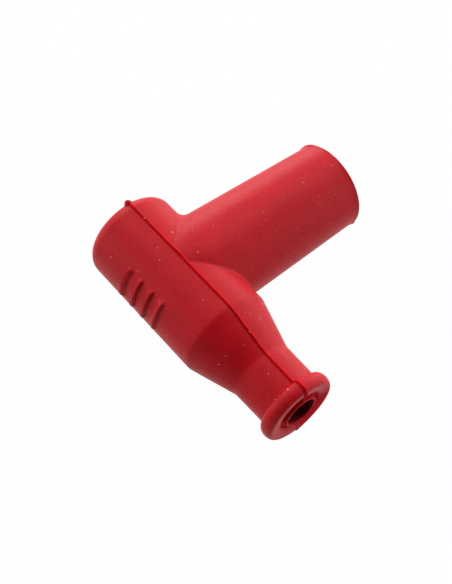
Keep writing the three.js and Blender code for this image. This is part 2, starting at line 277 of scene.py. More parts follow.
def meshFrom(name, patches, merge=0.0015, sharpAngle=40):
    # grids of points become quads, their shared edges are merged and the normals made to point outwards
    corners, faces, start = [], [], 0
    for grid in patches:
        rows, columns = grid.shape[:2]
        index = start + np.arange(rows * columns).reshape(rows, columns)
        around = [index[:-1, :-1], index[1:, :-1], index[1:, 1:], index[:-1, 1:]]
        faces.append(np.stack(around, -1).reshape(-1, 4))
        corners.append(grid.reshape(-1, 3))
        start += rows * columns
    points = (np.concatenate(corners) + crossing) * mm
    faces = np.concatenate(faces)
    mesh = bpy.data.meshes.new(name)
    mesh.vertices.add(len(points))
    mesh.vertices.foreach_set("co", points.astype(np.float32).ravel())
    mesh.loops.add(faces.size)
    mesh.loops.foreach_set("vertex_index", faces.astype(np.int32).ravel())
    mesh.polygons.add(len(faces))
    mesh.polygons.foreach_set("loop_start", np.arange(0, faces.size, 4, dtype=np.int32))
    mesh.polygons.foreach_set("loop_total", np.full(len(faces), 4, dtype=np.int32))
    mesh.update(calc_edges=True)
    work = bmesh.new()
    work.from_mesh(mesh)
    bmesh.ops.remove_doubles(work, verts=work.verts, dist=merge * mm)
    bmesh.ops.dissolve_degenerate(work, edges=work.edges, dist=merge * mm / 2)
    bmesh.ops.recalc_face_normals(work, faces=work.faces)
    openEdges = sum(1 for edge in work.edges if len(edge.link_faces) != 2)
    work.to_mesh(mesh)
    work.free()
    mesh.shade_smooth()
    mesh.set_sharp_from_angle(angle=math.radians(sharpAngle))
    triangles = sum(len(polygon.vertices) - 2 for polygon in mesh.polygons)
    print(f"{name}: {triangles} triangles, {openEdges} edges not closed")
    return addObject(name, mesh)


# Rows round the barrel, closest at the seam and where the grip bars end
seamRows = np.array([0, 0.4, 0.8, 1.2, 1.6, 2.0, 2.5, 3.2, 4.4, 6.2])
frontTurns = np.radians(np.concatenate([seamRows - 90, np.linspace(-81, 81, 45), 90 - seamRows[::-1]]))
backTurns = np.radians(np.concatenate([
    90 + seamRows, np.arange(99, 137, 3), np.arange(139, 188, 1.0), np.arange(190, 262, 3),
    270 - seamRows[::-1],
]))

coneEnd = -cover["barrelFront"] - cover["coneLength"]
lipMiddle = coneEnd - cover["neckLength"]
grooveHeight = lipMiddle - cover["grooveDepth"]
mouthHeight = grooveHeight - cover["ringHeight"]


def coverOutlines(c):
    # closed end with its shoulder; then cone, neck, rolled lip, sunk face and ring; then the tube's rim
    shoulder = (c["barrelRadius"] - c["shoulder"], c["barrelBack"] - c["shoulder"])
    shoulderTurns = np.concatenate([np.arange(90, 60, -5), np.arange(60, 30, -2), np.arange(30, -1, -5)])
    cap = joinOutline([
        [(pole, c["barrelBack"])],
        arcPoints(shoulder, c["shoulder"], shoulderTurns),
        [(c["barrelRadius"], shoulder[1] - 0.15)],
    ], 0.6)
    start, cone = (c["barrelRadius"], -c["barrelFront"]), (c["neckRadius"], coneEnd)
    neckEnd = (c["neckEndRadius"], lipMiddle + c["lipHalfWidth"])
    lipStart = math.degrees(math.acos((c["neckEndRadius"] - c["lipRadius"]) / c["lipHalfHeight"]))
    inwards = (c["lipRadius"] - c["lipEdgeRadius"] - c["lipEdgeStart"]) / c["lipInnerHeight"]
    lipStop = -90 - math.degrees(math.asin(inwards))
    lip = (c["lipRadius"], lipMiddle)
    inner = arcPoints(lip, (c["lipInnerHeight"], c["lipHalfWidth"]), np.linspace(-90, lipStop, 13))
    lipEdge = (c["lipEdgeRadius"], inner[-1, 1] + c["lipEdgeDrop"])
    floorEdge = (c["lipEdgeRadius"] - c["grooveWall"], grooveHeight)
    ringFoot = (c["ringRadius"], grooveHeight)
    ring, rounding, fine = mouthHeight + c["ringRound"], c["ringRound"], c["fineCorner"]
    end = joinOutline([
        [(c["barrelRadius"], start[1] + c["softCorner"] + 0.4)],
        softCorner((c["barrelRadius"], 0), start, cone, c["softCorner"], 6),
        softCorner(start, cone, neckEnd, c["softCorner"], 6),
        arcPoints(lip, (c["lipHalfHeight"], c["lipHalfWidth"]), np.linspace(lipStart, -90, 25)),
        inner[1:],
        softCorner(inner[-1], lipEdge, floorEdge, fine, 3),
        softCorner(lipEdge, floorEdge, ringFoot, fine, 3),
        softCorner(floorEdge, ringFoot, (c["ringRadius"], mouthHeight), fine, 3),
        arcPoints((c["ringRadius"] - rounding, ring), rounding, np.linspace(0, -90, 7)),
        arcPoints((c["holeRadius"] + rounding, ring), rounding, np.linspace(-90, -180, 7)),
    ], 0.4)
    rimStart = c["tubeLength"] - c["flashLength"]
    leadIn = (c["leadIn"], c["tubeLength"])
    edge = (c["tubeEnd"], c["tubeLength"])
    tail = joinOutline([
        [(c["tubeEnd"], rimStart + (c["flashLength"] - 0.15) * step) for step in np.linspace(0, 1, 9)],
        softCorner((c["tubeEnd"], rimStart), edge, leadIn, fine, 3),
        softCorner(edge, leadIn, (c["bore"], c["tubeLength"] - c["leadInDepth"]), c["leadInRound"], 4),
    ], 0.5)
    return cap, end, tail


def cavityOutlines(c, k):
    # the same for the inside: the insulator's room, the cable's hole, and the ribbed bore from room to rim
    radius, back, front = k["radius"] + k["fit"], k["back"] + k["fit"], -k["front"] - k["fit"]
    rounding = k["rounding"]
    cap = joinOutline([
        [(pole, back)],
        arcPoints((radius - rounding, back - rounding), rounding, np.linspace(90, 0, 5)),
        [(radius, back - rounding - 0.15)],
    ], 2.5)
    end = joinOutline([
        [(radius, front + 1)], [(radius, front)], [(c["holeRadius"], front)],
        [(c["holeRadius"], mouthHeight + c["ringRound"])],
    ], 2.5)
    roomEnd = k["reach"] + k["fit"]
    ribs = []
    for number in range(c["ribCount"]):
        middle = k["reach"] + c["ribFirst"] + c["ribSpacing"] * number
        lift = np.linspace(-1, 1, 11)
        # a raised cosine across the rib
        height = c["ribHeight"] * (1 + np.cos(np.pi * lift)) / 2
        ribs.append(np.stack([c["bore"] - height, middle + c["ribHalfWidth"] * lift], 1))
    rim, leadIn = (c["tubeEnd"], c["tubeLength"]), (c["leadIn"], c["tubeLength"])
    boreEnd = (c["bore"], c["tubeLength"] - c["leadInDepth"])
    leadEnd = softCorner(rim, leadIn, boreEnd, c["leadInRound"], 4)[-1]
    tail = joinOutline([
        [(radius + 0.1, roomEnd)], [(c["bore"], roomEnd)], *ribs,
        softCorner((c["bore"], roomEnd), boreEnd, leadEnd, 0.4, 4), [leadEnd],
    ], 0.9)
    return cap, end, tail


def moulded(points, normals, behind):
    # what the mould leaves on the cover, as a lift along the surface's own normal; behind is the half of the
    # barrel away from the tube
    c = cover
    x, y, z = points[..., 0], points[..., 1], points[..., 2]
    fromHole, fromTube, past = np.hypot(x, z), np.hypot(y, z), np.clip(x, 0, None)
    onMouth, onLip = y < lipMiddle, ease((lipMiddle + c["lipStart"] - y) / 0.8)

    # the parting line: an uneven bead that wanders about x = 0, a step on one side and a groove on the other
    wander = 0.03 * np.sin(1.3 * y) + 0.02 * np.sin(3.1 * y + 1)
    across = (x - wander) / c["seamHalfWidth"]
    onEnds = ease(np.abs(normals[..., 1]) * 2 - 0.6)
    height = c["seamHeight"] + (c["seamEndHeight"] - c["seamHeight"]) * onEnds
    height = height * (1 - c["underLipShare"] * ease((-z - 4) / 2) * onMouth)
    height = height * (1 - c["seamUneven"] * (1 + np.sin(2.1 * y) * np.sin(4.7 * y + 1)) / 2)
    bead = height * np.clip(1 - across ** 2, 0, 1) ** 0.7
    step = c["seamStep"] * ease(across * 2) * np.exp(-past / c["seamStepReach"])
    grooveStart = (x + c["seamGrooveEdge"] * c["seamHalfWidth"]) / c["seamGrooveFade"]
    groove = c["seamGroove"] * ease(grooveStart) * ease(-(across + 0.9) * 4)
    lift = np.maximum(bead, step) - groove * (1 - c["lipGrooveShare"] * onLip)

    # it is lower where the tube joins, has a step of its own on the lip, and ends before the ring
    onJoin = (y > stepLow + 1e-6) * (y < stepHigh - 1e-6) * (not behind)
    lift = lift * (1 - c["joinShare"] * ease((fromTube - c["joinStart"]) / 0.3) * onJoin)
    lipStep = c["lipStep"] * ease(across * 1.5 + 0.5) * np.exp(-past / c["lipStepReach"])
    lift = lift + onLip * lipStep
    inwards = ease((c["lipEdgeRadius"] + 0.3 - fromHole) / 0.5) * onMouth
    onRing = ease((c["ringRadius"] - fromHole) / 0.1) * onMouth
    lift = lift * (1 - c["lipInnerShare"] * inwards) * (1 - onRing)

    # behind, it fades out along the join, and the grip bars stand beside it
    if behind:
        lift = lift * (1 - ease(np.minimum(y - stepLow, stepHigh - y) / c["seamFade"]))
        low, high = (z - c["gripLow"]) / c["gripEndRound"], (c["gripHigh"] - z) / c["gripEndRound"]
        middles = c["gripFirst"] + c["gripSpacing"] * np.arange(c["gripCount"])
        off = np.abs(y[..., None] - middles).min(-1)
        bars = ease((c["gripWidth"] / 2 - off) / c["gripSideRound"] + 0.5)
        lift = lift + c["gripHeight"] * bars * ease(low + 0.5) * ease(high + 0.5) * (x < 0)

    # the nub, a ball halfway round the shoulder of the closed end
    inset, diagonal = c["shoulder"] * (1 - math.sqrt(0.5)), c["nubLift"] * math.sqrt(0.5)
    nub = np.array([0, c["barrelBack"] - inset + diagonal, c["barrelRadius"] - inset + diagonal])
    away = np.linalg.norm(points - nub, axis=-1)
    lift = np.maximum(lift, np.sqrt(np.clip(c["nubRadius"] ** 2 - away ** 2, 0, None)) * c["nubTall"])

    # flash round the tube's rim: thin all round, wider at two places
    angle = np.degrees(np.arctan2(z, y)) % 360
    wide = sum(ease(1.5 - np.abs(angle - at) / half) for at, half in c["flashTabs"])
    flare = np.clip((x - c["tubeLength"] + c["flashLength"]) / c["flashLength"], 0, 1)
    outside = (fromTube > c["tubeEnd"] - c["rimEdge"]) * (x > c["rootReach"])
    lift = lift + outside * (c["flash"] * flare ** 2 + (c["flashTab"] - c["flash"]) * wide * flare ** 3)
    return points + normals * lift[..., None]


def plain(points, normals, behind):
    # a surface with no marks on it
    return points


cap, end, tail = coverOutlines(cover)
taper = (cover["tubeRoot"] - cover["tubeEnd"]) / tail[0, 1]
outerSize = dict(cover, capOutline=cap, endOutline=end, tail=tail, taper=taper)
rootRadius = cover["tubeRoot"] - cover["rootDrop"]
stepHigh, stepLow = (
    sign * math.sqrt((rootRadius + ball) ** 2 - (cover["barrelRadius"] + ball) ** 2)
    for sign, ball in ((1, cover["roundBack"]), (-1, cover["roundFront"])))
cap, end, tail = cavityOutlines(cover, core)
room = core["radius"] + core["fit"]
innerSize = dict(capOutline=cap, endOutline=end, tail=tail, taper=0, barrelRadius=room, tubeRoot=room + 0.1,
                 rootDrop=0, rootReach=1, roundBack=0.3, roundFront=0.3)
outerCounts = dict(ball=8, wedge=40, back=24, front=24, tube=44, tubePower=1.9)
innerCounts = dict(ball=2, wedge=40, back=4, front=4, tube=8, tubePower=1.4)
outer = teeSurface(outerSize, outerCounts, frontTurns, backTurns, moulded)
inner = teeSurface(innerSize, innerCounts, frontTurns, backTurns, plain)
coverPiece = meshFrom("cover_rubber", outer + inner)


# What the insulator holds: a contact block where the axes cross, along Y the screw that the cable is turned
# onto, and along X the resistor with its caps, the spring and the plug's terminal with its clip
held = dict(
    contactRadius=3.0, contactBack=3.0, contactFlat=2.4, contactThread=0.1,
    screwRadius=1.5, screwHold=4.4, screwReach=12.0, tipLength=3.2, tipRadius=0.25, screwPitch=1.25,
    screwThread=0.3, resistorRadius=2.2, resistorLength=8.4, capWall=0.35, capLength=2.0,
    springRadius=2.05, springWire=0.28, springLength=4.2, springTurns=4.5, springClosed=0.3,
    terminalRadius=4.6, terminalLength=6.6, studHole=2.1, studDepth=5.6, studPitch=0.7, studThread=0.2,
    slotWidth=0.8, slotDepth=4.56, clipWire=0.45, clipOpening=36.0, clipPlace=2.0, edge=0.2,
)
contactFront = core["cableSocketDepth"] - core["front"]
springStart = held["contactFlat"] + held["resistorLength"]
terminalStart = springStart + held["springLength"]
terminalFront = terminalStart + held["terminalLength"]
capRadius = held["resistorRadius"] + held["capWall"] + core["fit"] / 2


def easedOutline(points, cut, spacing=0.5, steps=3):
    # straight runs between the points, with each corner but the ends rounded over cut millimetres or less
    points = [np.array(point, float) for point in points]
    pieces = [points[0]]
    for before, corner, after in zip(points, points[1:], points[2:]):
        room = min(np.linalg.norm(corner - before), np.linalg.norm(after - corner)) * 0.45
        pieces.append(softCorner(before, corner, after, min(cut, room), steps))
    return joinOutline([*pieces, points[-1]], spacing)


def insulatorPiece(k, h):
    # its outside, and its inside: the contact's bore and the cable's socket along Y, and along X the bore of
    # the resistor and spring, the terminal's bore and the plug's socket
    edge, fit, radius = h["edge"], k["fit"], k["radius"]
    front, reach, rounding = -k["front"], k["reach"], k["rounding"]
    joint = h["contactRadius"] + fit + 0.1
    cap = joinOutline([
        [(pole, k["back"])],
        arcPoints((radius - rounding, k["back"] - rounding), rounding, np.arange(90, -1, -10)),
        [(radius, k["back"] - rounding - 0.1)],
    ], 1.0)
    end = easedOutline([(radius, 2 + front), (radius, front), (k["cableSocket"], front)], edge, 1.0)
    tail = easedOutline([(radius, reach - 2), (radius, reach), (k["plugSocket"], reach)], edge, 0.8)
    outside = dict(barrelRadius=radius, tubeRoot=radius + 0.02, rootDrop=0, rootReach=1, taper=0,
                   roundBack=0.3, roundFront=0.3, capOutline=cap, endOutline=end, tail=tail)
    bore, blind = h["contactRadius"] + fit, h["contactBack"] + fit
    socket = front + k["cableSocketDepth"]
    cap = easedOutline([(pole, blind), (bore, blind), (bore, blind - 0.15)], 0.1, 1.0)
    end = easedOutline([
        (bore, socket + 1), (bore, socket), (k["cableSocket"], socket), (k["cableSocket"], front),
    ], 0.15, 1.0)
    capBore, terminalBore = capRadius + fit, h["terminalRadius"] + fit
    floor = reach - k["plugSocketDepth"]
    tail = easedOutline([
        (joint, joint + 1), (capBore, joint + 1.2), (capBore, terminalStart), (terminalBore, terminalStart),
        (terminalBore, floor), (k["plugSocket"], floor), (k["plugSocket"], reach),
    ], 0.15, 1.0)
    inside = dict(barrelRadius=bore, tubeRoot=joint, rootDrop=0, rootReach=1, taper=0,
                  roundBack=0.1, roundFront=0.1, capOutline=cap, endOutline=end, tail=tail)
    counts = dict(ball=3, wedge=20, back=8, front=8, tube=12, tubePower=1.4)
    turns = frontTurns[::2], backTurns[::3]
    outer, inner = (teeSurface(size, counts, *turns, plain) for size in (outside, inside))
    return meshFrom("insulator_elbow", outer + inner)


def turnedGrid(outline, axis, shaped=None, sides=72):
    # (radius, place along the axis) carried round X or Y; shaped may change the radius by place and angle
    angle = np.linspace(0, 2 * np.pi, sides + 1)[:, None]
    radius, along = outline[None, :, 0] + 0 * angle, outline[None, :, 1] + 0 * angle
    if shaped:
        radius = shaped(radius, along, angle)
    across = radius * np.cos(angle), radius * np.sin(angle)
    columns = [along, *across] if axis == "X" else [across[0], along, across[1]]
    return np.stack(columns, -1)


def threaded(radius, along, angle, start, stop, pitch, depth):
    # a ridge that climbs one pitch a turn, and runs out over one pitch at each end
    share = (along / pitch - angle / (2 * np.pi)) % 1
    ridge = np.clip(2.6 * np.abs(share - 0.5) - 0.15, 0, 1)
    return radius - depth * (1 - ridge) * ease((along - start) / pitch) * ease((stop - along) / pitch)


def tapped(hole, start, stop, pitch, depth):
    # a thread on the wall of a hole, with the radius left as it is elsewhere
    def thread(radius, along, angle):
        cut = threaded(radius, along, angle, start, stop, pitch, -depth)
        return np.where(np.abs(radius - hole) < 0.01, cut, radius)

    return thread


def wireGrid(path, radial, wire, sides=14):
    # a round section carried along a path, closed by a half ball at each end
    along = np.gradient(path, axis=0)
    along /= np.linalg.norm(along, axis=1, keepdims=True)
    swing = np.radians([0, 30, 60])
    scale = np.concatenate([np.sin(swing), np.ones(len(path)), np.sin(swing[::-1])])
    ends = wire * np.cos(swing)[:, None]
    centre = np.concatenate([path[:1] - along[:1] * ends, path, path[-1:] + along[-1:] * ends[::-1]])
    out = np.concatenate([radial[[0, 0, 0]], radial, radial[[-1, -1, -1]]])
    side = np.cross(np.concatenate([along[[0, 0, 0]], along, along[[-1, -1, -1]]]), out)
    turn = np.linspace(0, 2 * np.pi, sides + 1)[None, :, None]
    ring = np.cos(turn) * out[:, None] + np.sin(turn) * side[:, None]
    return centre[:, None] + wire * scale[:, None, None] * ring


def aroundX(turn):
    # straight out from X, turn 0 being +Y
    return np.stack([0 * turn, np.cos(turn), np.sin(turn)], -1)


def cableScrew(h):
    # a rod with a cone for its tip, and the thread cut round it
    top, tip, radius = contactFront + h["screwHold"], contactFront - h["screwReach"], h["screwRadius"]
    outline = easedOutline([
        (0, top), (radius, top), (radius, tip + h["tipLength"]), (h["tipRadius"], tip), (0, tip),
    ], 0.12, 0.12)

    def thread(radius, along, angle):
        return np.maximum(0, threaded(
            radius, along, angle, tip + 0.3, top - 0.2, h["screwPitch"], h["screwThread"]))

    return meshFrom("cable_screw_threaded", [turnedGrid(outline, "Y", thread, 48)])


def cornerContact(h):
    # a round block with a tapped hole for the screw, cut flat on the resistor's side
    hole = h["screwRadius"] + core["fit"]
    low, deep = contactFront, contactFront + h["screwHold"]
    outline = easedOutline([
        (0, h["contactBack"]), (h["contactRadius"], h["contactBack"]), (h["contactRadius"], low),
        (hole + 0.25, low), (hole, low + 0.25), (hole, deep + 0.3), (0, deep + 0.9),
    ], 0.2, 0.15)
    thread = tapped(hole, low + 0.3, deep, h["screwPitch"], h["contactThread"])
    grid = turnedGrid(outline, "Y", thread)
    grid[..., 0] = np.minimum(grid[..., 0], h["contactFlat"] - 0.05)
    return meshFrom("contact_block", [grid])


def resistorPieces(h):
    # a rod between two caps, each a cup whose floor lies outwards
    low, high = h["contactFlat"], springStart
    wall, radius, length = h["capWall"], h["resistorRadius"], h["capLength"]
    start, end = low + wall, high - wall
    body = easedOutline([(0, end), (radius, end), (radius, start), (0, start)], 0.25)
    pieces = [meshFrom("resistor_rod", [turnedGrid(body, "X")])]
    inner = radius + core["fit"] / 2
    for name, floor, way in (("resistor_cup_inner", low, 1), ("resistor_cup_outer", high, -1)):
        rim, bottom = floor + way * length, floor + way * wall
        cup = easedOutline([
            (0, floor), (capRadius, floor), (capRadius, rim), (inner, rim), (inner, bottom), (0, bottom),
        ], 0.14)
        pieces.append(meshFrom(name, [turnedGrid(cup, "X")]))
    return pieces


def contactSpring(h):
    # a helix whose first and last coils lie closer together
    share = np.linspace(0, 1, int(h["springTurns"] * 36) + 1)
    inset = h["springWire"] + core["fit"] / 2
    travel = h["springLength"] - 2 * inset
    x = springStart + inset + travel * (share - h["springClosed"] * np.sin(2 * np.pi * share) / (2 * np.pi))
    radial = aroundX(2 * np.pi * h["springTurns"] * share)
    path = np.stack([x, 0 * x, 0 * x], -1) + h["springRadius"] * radial
    return meshFrom("spring_coil", [wireGrid(path, radial, h["springWire"])])


def terminalClip(h):
    # a wire ring round X with a gap in it
    half = math.radians(h["clipOpening"] / 2)
    radial = aroundX(np.linspace(half, 2 * np.pi - half, 97))
    path = (h["terminalRadius"] - h["clipWire"]) * radial + np.array([terminalFront - h["clipPlace"], 0, 0])
    return meshFrom("clip_ring", [wireGrid(path, radial, h["clipWire"])])


def plugTerminal(h):
    # turned with a groove for the clip and a tapped hole for the plug's stud, then slotted across
    radius, front = h["terminalRadius"], terminalFront
    middle, half = front - h["clipPlace"], h["clipWire"] + core["fit"]
    root = radius - 2 * h["clipWire"] - core["fit"]
    hole, deep = h["studHole"], front - h["studDepth"]
    outline = easedOutline([
        (0, terminalStart), (radius, terminalStart), (radius, middle - half), (root, middle - half),
        (root, middle + half), (radius, middle + half), (radius, front),
        (hole + 0.45, front), (hole, front - 0.45), (hole, deep), (0, deep - 0.9),
    ], 0.18, 0.09)
    thread = tapped(hole, deep, front - 0.4, h["studPitch"], h["studThread"])
    piece = meshFrom("terminal_jaw", [turnedGrid(outline, "X", thread, 96)])
    saw = bpy.data.meshes.new("saw")
    tool = bmesh.new()
    reach = radius * 2.4
    middle = front - h["slotDepth"] + reach / 2
    place = Matrix.Translation(((crossing + (middle, 0, 0)) * mm).tolist())
    bmesh.ops.create_cube(tool, size=mm, matrix=place @ Matrix.Diagonal((reach, reach, h["slotWidth"], 1)))
    tool.to_mesh(saw)
    tool.free()
    cutter = addObject("saw", saw)
    cut = piece.modifiers.new("slot", "BOOLEAN")
    cut.operation, cut.solver, cut.object = "DIFFERENCE", "EXACT", cutter
    sawn = bpy.data.meshes.new_from_object(piece.evaluated_get(bpy.context.evaluated_depsgraph_get()))
    piece.modifiers.clear()
    piece.data = sawn
    bpy.data.objects.remove(cutter)
    sawn.shade_smooth()
    sawn.set_sharp_from_angle(angle=math.radians(35))
    return piece


insulator = insulatorPiece(core, held)
screw, contact = cableScrew(held), cornerContact(held)
resistor, cupInner, cupOuter = resistorPieces(held)
spring, clip, terminal = contactSpring(held), terminalClip(held), plugTerminal(held)


class Signal:
    # a socket's output, on which arithmetic adds Math nodes
    def __init__(self, finish, socket):
        self.finish, self.socket = finish, socket

    def math(self, operation, *others):
        return self.finish.make("ShaderNodeMath", {"operation": operation}, dict(enumerate((self, *others))))

    def __add__(self, other):
        return self.math("ADD", other)

    __radd__ = __add__

    def __mul__(self, other):
        return self.math("MULTIPLY", other)

    __rmul__ = __mul__

    def __sub__(self, other):
        return self.math("SUBTRACT", other)

    def __rsub__(self, other):
        return self.finish.make("ShaderNodeMath", {"operation": "SUBTRACT"}, {0: other, 1: self})

    def between(self, low, high):
        # smooth step from low to high
        return self.finish.make("ShaderNodeMapRange", {"interpolation_type": "SMOOTHSTEP"},
                                {"Value": self, "From Min": low, "From Max": high})


class Finish:
    # one material, or the world, and its node tree
    def __init__(self, name, library=bpy.data.materials):
        self.material = library.new(name)
        self.material.use_nodes = True
        self.tree = self.material.node_tree
        self.tree.nodes.clear()

    def make(self, kind, settings=None, inputs=None, output=0):
        # a node of any type: its settings first, then values or links for its sockets
        node = self.tree.nodes.new(kind)
        for name, value in (settings or {}).items():
            setattr(node, name, value)
        for name, value in (inputs or {}).items():
            if isinstance(value, Signal):
                self.tree.links.new(value.socket, node.inputs[name])
            else:
                node.inputs[name].default_value = value
        return Signal(self, node.outputs[output]) if node.outputs else None

    def place(self):
        return self.make("ShaderNodeTexCoord", output="Object")

    def seenDirectly(self):
        # 1 for what the camera sees by itself, in a reflection or through glass
        path = self.make("ShaderNodeLightPath", output="Is Camera Ray")
        outputs = path.socket.node.outputs
        reflected, through = (Signal(self, outputs[key]) for key in ("Is Glossy Ray", "Is Transmission Ray"))
        return path.math("MAXIMUM", reflected).math("MAXIMUM", through)

    def noise(self, size, detail, rough, place):
        # soft noise whose blotches are about size millimetres across
        return self.make("ShaderNodeTexNoise", {}, {
            "Vector": place, "Scale": 1 / (size * mm), "Detail": detail, "Roughness": rough})

    def split(self, vector, axis):
        return self.make("ShaderNodeSeparateXYZ", {}, {"Vector": vector}, output=axis)

    def vectors(self, operation, *inputs, output=0):
        return self.make("ShaderNodeVectorMath", {"operation": operation}, dict(enumerate(inputs)), output)

    def fromAxis(self, place, across):
        # millimetres from an axis through the crossing; across is zero along that axis
        offset = self.vectors("SUBTRACT", place, (crossing * mm).tolist())
        return self.vectors("LENGTH", self.vectors("MULTIPLY", offset, across), output="Value")

    def shift(self, place, size, reach):
        # the place moved about by up to reach millimetres, in waves of about size millimetres
        inputs = {"Vector": place, "Scale": 1 / (size * mm)}
        waves = self.make("ShaderNodeTexNoise", {}, inputs, output="Color")
        centred = self.vectors("SUBTRACT", waves, (0.5, 0.5, 0.5))
        return self.vectors("ADD", place, self.vectors("MULTIPLY", centred, (reach * mm,) * 3))

    def stretched(self, place, turn, stretch):
        # the place turned, so that a pattern on it is drawn out along one axis
        return self.make("ShaderNodeMapping", {"vector_type": "TEXTURE"}, {
            "Vector": place, "Rotation": turn, "Scale": (1.0, 1.0, stretch)})

    def flecks(self, place, cell, radius, share):
        # round spots at random places, about one in a cell, of which a share is kept, some of them fainter
        inputs = {"Vector": place, "Scale": 1 / (cell * mm), "Randomness": 1.0}
        away = self.make("ShaderNodeTexVoronoi", {}, inputs, output="Distance") * cell
        chance = self.make("ShaderNodeTexVoronoi", {}, inputs, output="Color")
        kept, light = (self.make("ShaderNodeSeparateColor", {}, {"Color": chance}, output=k) for k in (0, 1))
        return (1 - away.between(radius * 0.6, radius)) * kept.math("LESS_THAN", share) * (light * 0.8 + 0.2)

    def blend(self, factor, first, second):
        # from the first colour to the second, at sockets 6 and 7; either may be a screen colour
        first, second = (tint(*c) if isinstance(c, tuple) else c for c in (first, second))
        return self.make("ShaderNodeMix", {"data_type": "RGBA"}, {0: factor, 6: first, 7: second}, output=2)

    def bump(self, height, depth, strength, normal=None):
        # height from 0 to 1 stands for depth millimetres
        inputs = {"Height": height, "Distance": depth * mm, "Strength": strength}
        if normal:
            inputs["Normal"] = normal
        return self.make("ShaderNodeBump", {}, inputs)

    def surface(self, **sockets):
        inputs = {name.replace("_", " "): value for name, value in sockets.items()}
        shader = self.make("ShaderNodeBsdfPrincipled", {}, inputs)
        self.make("ShaderNodeOutputMaterial", {}, {"Surface": shader})
        return self.material


def tint(red, green, blue):
    # a screen colour, 0 to 255 each, as the linear colour that a shader takes
    steps = np.array([red, green, blue]) / 255
    linear = np.where(steps <= 0.04045, steps / 12.92, ((steps + 0.055) / 1.055) ** 2.4)
    return (*linear.tolist(), 1.0)


